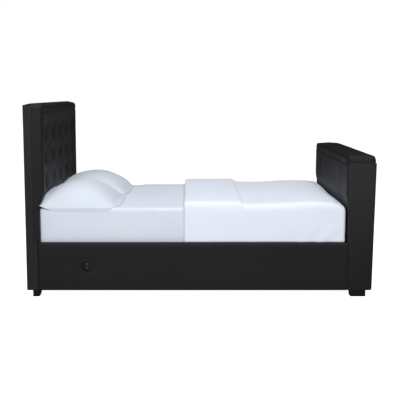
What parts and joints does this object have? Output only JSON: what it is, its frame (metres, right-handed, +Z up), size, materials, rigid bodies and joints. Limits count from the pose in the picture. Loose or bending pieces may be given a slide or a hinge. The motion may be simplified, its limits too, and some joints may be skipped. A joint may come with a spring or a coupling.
{
  "type": "upholstered bed",
  "caption": "Double bed in black leather-look upholstery with a buttoned headboard, a lift for a television in the thick footboard, slatted base, mattress, duvet and pillows.",
  "frame": {"origin": "on the floor, under the middle of the bed's outer box", "axes": "+X from the headboard to the footboard, +Y to the left of a sleeper lying on their back, +Z up"},
  "size_m": [2.175, 1.44, 1.21],
  "materials": {
    "timber": "matte",
    "board": "matte",
    "leather": "satin",
    "button_leather": "satin",
    "back_cloth": "matte",
    "black_foot": "satin",
    "black_steel": "satin",
    "zinc_steel": "satin",
    "stage_steel": "satin",
    "black_plastic": "satin",
    "slat_beech": "satin",
    "nut_brass": "satin",
    "mattress_cloth": "matte",
    "bedding_cloth": "matte"
  },
  "bodies": {
    "bed": {"headboard_posts": "timber", "headboard_rails": "timber", "headboard_board": "board", "headboard_pad": "leather", "headboard_buttons": "button_leather", "headboard_side_covers": "leather", "headboard_top_cover": "leather", "headboard_back_cloth": "back_cloth", "headboard_feet": "black_foot", "rail_core_left": "board", "rail_core_right": "board", "rail_cover_left": "leather", "rail_cover_right": "leather", "slat_ledges": "timber", "rail_brackets": "black_steel", "rail_bolts": "zinc_steel", "port_bezel": "black_plastic", "port_cup": "black_plastic", "port_socket_plate": "black_plastic", "port_sockets": "zinc_steel", "centre_rail": "black_steel", "centre_rail_brackets": "black_steel", "centre_legs": "black_steel", "centre_leg_glides": "black_plastic", "slats_left": "slat_beech", "slats_right": "slat_beech", "side_slat_holders": "black_plastic", "centre_slat_holders": "black_plastic", "footboard_inner_board": "board", "footboard_outer_board": "board", "footboard_end_boards": "board", "footboard_dividers": "board", "footboard_floor_board": "board", "footboard_shelves": "board", "footboard_pad_left": "leather", "footboard_pad_centre": "leather", "footboard_pad_right": "leather", "footboard_outer_cover": "leather", "footboard_end_covers": "leather", "footboard_cap_left": "leather", "footboard_cap_right": "leather", "footboard_feet": "black_foot", "lift_mounting_plate": "black_steel", "lift_column": "stage_steel", "lift_motor": "black_plastic", "lift_spindle": "zinc_steel", "lift_control_box": "black_plastic", "power_inlet": "black_plastic", "mattress": "mattress_cloth", "duvet": "bedding_cloth", "pillow_left": "bedding_cloth", "pillow_right": "bedding_cloth"},
    "lift_middle": {"lift_middle_stage": "stage_steel", "lift_nut": "nut_brass"},
    "lift_carriage": {"lift_inner_stage": "stage_steel", "lift_top_plate": "black_steel", "tv_bracket": "black_steel", "lid_arms": "black_steel", "lid_board": "board", "lid_cap": "leather"}
  },
  "joints": [
    {"name": "lift_middle_slide", "type": "slide", "parent": "bed", "child": "lift_middle", "axis": [0, 0, 1], "range_m": [0, 0.275]},
    {"name": "lift_inner_slide", "type": "slide", "parent": "lift_middle", "child": "lift_carriage", "axis": [0, 0, 1], "range_m": [0, 0.275]}
  ],
  "couplings": [
    {"joint": "lift_inner_slide", "follows": "lift_middle_slide", "ratio": 1}
  ]
}
